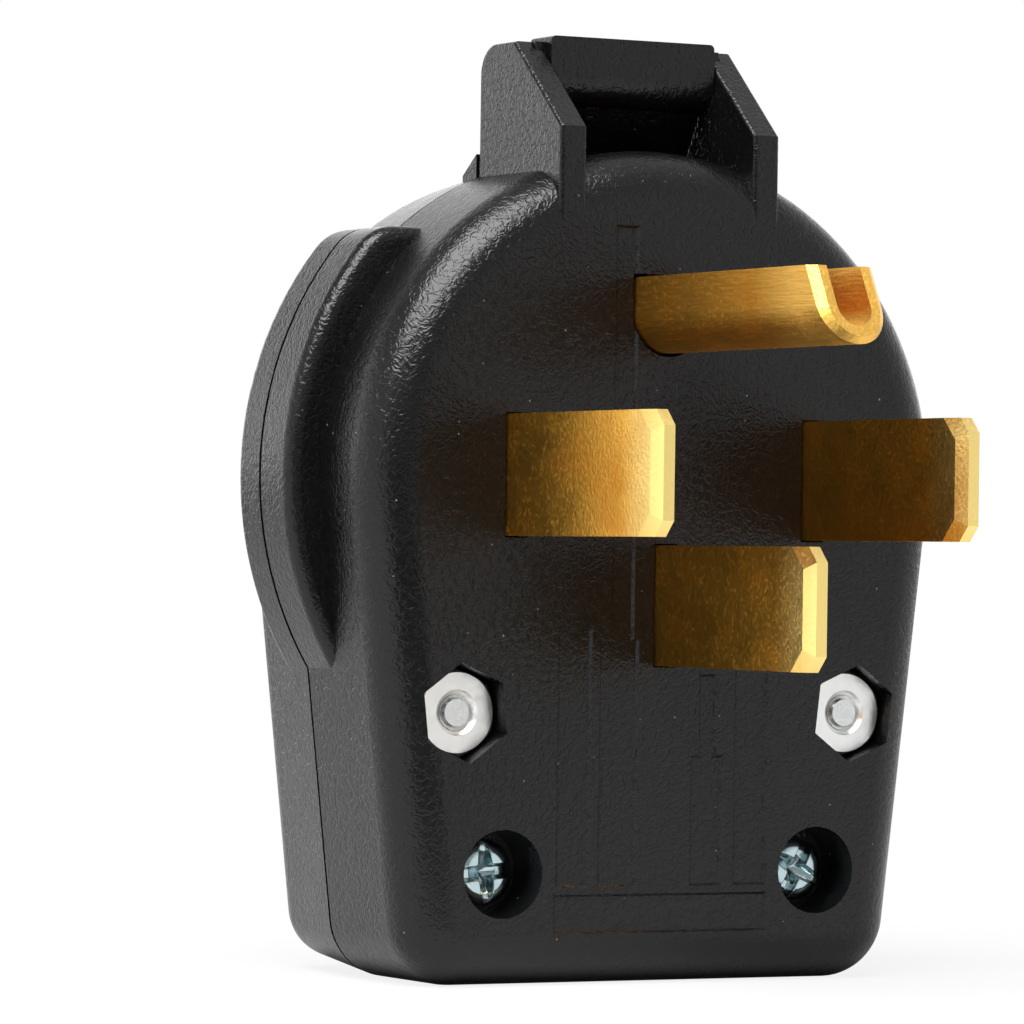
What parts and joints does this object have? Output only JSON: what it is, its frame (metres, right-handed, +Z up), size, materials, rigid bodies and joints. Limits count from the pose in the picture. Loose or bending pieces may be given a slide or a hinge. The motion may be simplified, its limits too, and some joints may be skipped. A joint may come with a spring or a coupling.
{
  "type": "four-prong plug",
  "caption": "Angled heavy-duty mains plug: a black two-half housing with grip wings and a top cord clamp, flat brass blades and a U-shaped earth prong.",
  "frame": {"origin": "centre of the mating face, level with the two hot blades", "axes": "+Z up towards the cable, +X to the right seen from the front, prongs along -Y"},
  "size_m": [0.0728, 0.0696, 0.0945],
  "materials": {
    "moulded_black": "fine grained moulded nylon",
    "brass": "stamped brass",
    "zinc": "bright zinc-plated steel"
  },
  "bodies": {
    "root": {"front_body": "moulded_black", "rear_cover": "moulded_black", "cord_clamp": "moulded_black", "hot_blade_left": "brass", "hot_blade_right": "brass", "neutral_blade": "brass", "ground_prong": "brass", "hot_left_clamp": "zinc", "hot_left_screw": "zinc", "hot_right_clamp": "zinc", "hot_right_screw": "zinc", "neutral_clamp": "zinc", "neutral_screw": "zinc", "ground_clamp": "zinc", "ground_screw": "zinc", "assembly_bolt_left": "zinc", "assembly_bolt_right": "zinc", "hex_nut_left": "zinc", "hex_nut_right": "zinc", "cover_screw_left": "zinc", "cover_screw_right": "zinc"}
  },
  "joints": []
}
